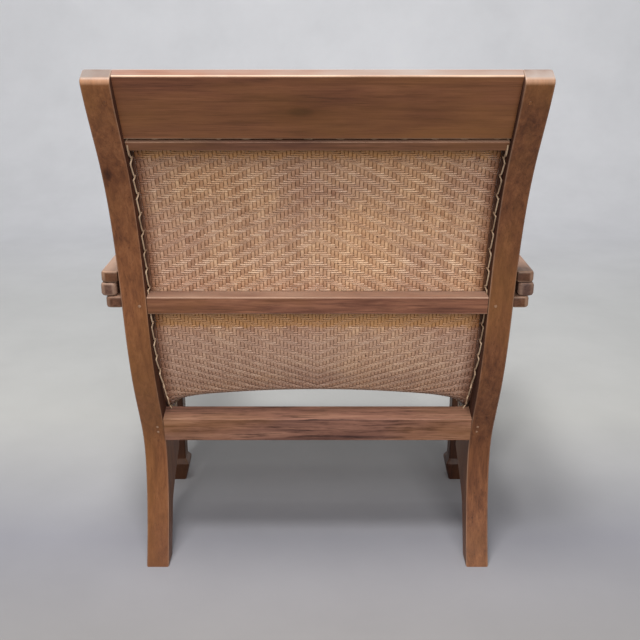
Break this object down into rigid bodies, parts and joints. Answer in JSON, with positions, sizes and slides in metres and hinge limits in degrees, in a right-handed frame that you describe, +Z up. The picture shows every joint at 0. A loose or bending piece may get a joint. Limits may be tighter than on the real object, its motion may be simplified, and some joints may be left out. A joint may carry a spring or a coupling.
{
  "type": "planters chair",
  "caption": "Low reclining armchair with S-curved back posts, a woven cane sling hung between crest and front rail, and broad arms whose middle boards swing out as leg rests.",
  "frame": {"origin": "on the floor, in the middle of the object's own box", "axes": "the sitter faces -Y with the left hand at +X, +Z up"},
  "size_m": [0.752, 0.8142, 0.9679],
  "materials": {
    "post_wood": "satin reddish-brown hardwood, rubbed and worn",
    "rail_wood": "satin brown hardwood with a pinkish cast",
    "arm_wood": "satin brown hardwood, paler where arms have rubbed it",
    "peg_wood": "end grain, oiled",
    "cane": "close woven cane in a diamond twill, matt to satin",
    "lacing": "pale twisted cord",
    "bolt_metal": "dull aged metal"
  },
  "bodies": {
    "frame": {"crest_rail": "rail_wood", "mid_back_rail": "rail_wood", "rear_seat_rail": "rail_wood", "front_seat_rail": "rail_wood", "crest_batten": "rail_wood", "crest_cover_strip": "rail_wood", "seat_batten": "rail_wood", "woven_seat": "cane", "back_post_left": "post_wood", "back_post_right": "post_wood", "seat_rail_left": "rail_wood", "seat_rail_right": "rail_wood", "front_leg_left": "post_wood", "front_leg_right": "post_wood", "edge_lace_left": "lacing", "edge_lace_right": "lacing", "arm_board_left": "arm_wood", "arm_board_right": "arm_wood", "arm_spacer_left": "arm_wood", "arm_spacer_right": "arm_wood", "arm_runner_left": "arm_wood", "arm_runner_right": "arm_wood", "pivot_bolt_left": "bolt_metal", "pivot_bolt_right": "bolt_metal", "pivot_washer_left": "bolt_metal", "pivot_washer_right": "bolt_metal", "pivot_nut_left": "bolt_metal", "pivot_nut_right": "bolt_metal", "crest_peg_left": "peg_wood", "crest_peg_right": "peg_wood", "mid_rail_peg_left": "peg_wood", "mid_rail_peg_right": "peg_wood", "rear_rail_peg_lower_left": "peg_wood", "rear_rail_peg_lower_right": "peg_wood", "rear_rail_peg_upper_left": "peg_wood", "rear_rail_peg_upper_right": "peg_wood", "shoulder_peg_left": "peg_wood", "shoulder_peg_right": "peg_wood", "leg_peg_lower_left": "peg_wood", "leg_peg_lower_right": "peg_wood", "leg_peg_upper_left": "peg_wood", "leg_peg_upper_right": "peg_wood"},
    "leg_rest_left": {"leg_rest_left": "arm_wood"},
    "leg_rest_right": {"leg_rest_right": "arm_wood"}
  },
  "joints": [
    {"name": "leg_rest_left_swing", "type": "hinge", "parent": "frame", "child": "leg_rest_left", "pos_m": [0.341, -0.36312, 0.59125], "axis": [0, 0, -1], "range_deg": [0, 180]},
    {"name": "leg_rest_right_swing", "type": "hinge", "parent": "frame", "child": "leg_rest_right", "pos_m": [-0.341, -0.36312, 0.59125], "axis": [0, 0, 1], "range_deg": [0, 180]}
  ]
}
